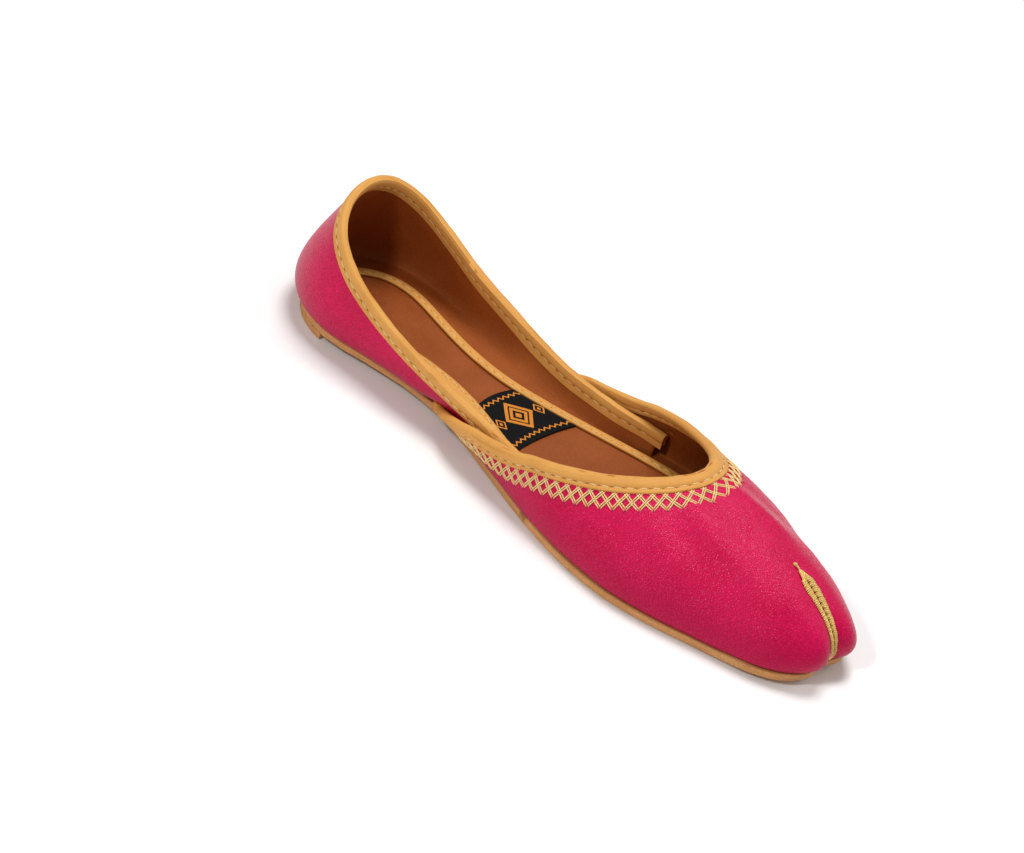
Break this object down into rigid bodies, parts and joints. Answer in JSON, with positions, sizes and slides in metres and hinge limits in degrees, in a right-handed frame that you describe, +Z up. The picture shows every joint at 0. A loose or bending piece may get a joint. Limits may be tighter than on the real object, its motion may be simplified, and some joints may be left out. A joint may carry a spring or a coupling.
{
  "type": "ballet flat",
  "caption": "Low slip-on flat with a rounded split toe, deep throat, folded leather bindings and a thin leather sole with a low heel lift.",
  "frame": {"origin": "centre of the bounding box on the floor plane, under the waist of the shoe", "axes": "+X from the heel to the toe, +Y to the wearer's left, +Z up from the floor"},
  "size_m": [0.2492, 0.079, 0.0523],
  "materials": {
    "sole_leather": "matt cut edge, waxed",
    "lift_leather": "matt",
    "upper_leather": "grained, soft sheen",
    "sock_leather": "smooth, soft sheen",
    "strip_leather": "smooth, soft sheen",
    "label_cloth": "woven, matt",
    "vamp_binding_leather": "smooth, soft sheen",
    "quarter_binding_leather": "smooth, soft sheen",
    "braid_thread": "metallic thread"
  },
  "bodies": {
    "root": {"outsole": "sole_leather", "heel_lift": "lift_leather", "upper": "upper_leather", "insole": "sock_leather", "insole_binding": "strip_leather", "label_patch": "label_cloth", "vamp_binding": "vamp_binding_leather", "quarter_binding": "quarter_binding_leather", "toe_braid": "braid_thread"}
  },
  "joints": []
}
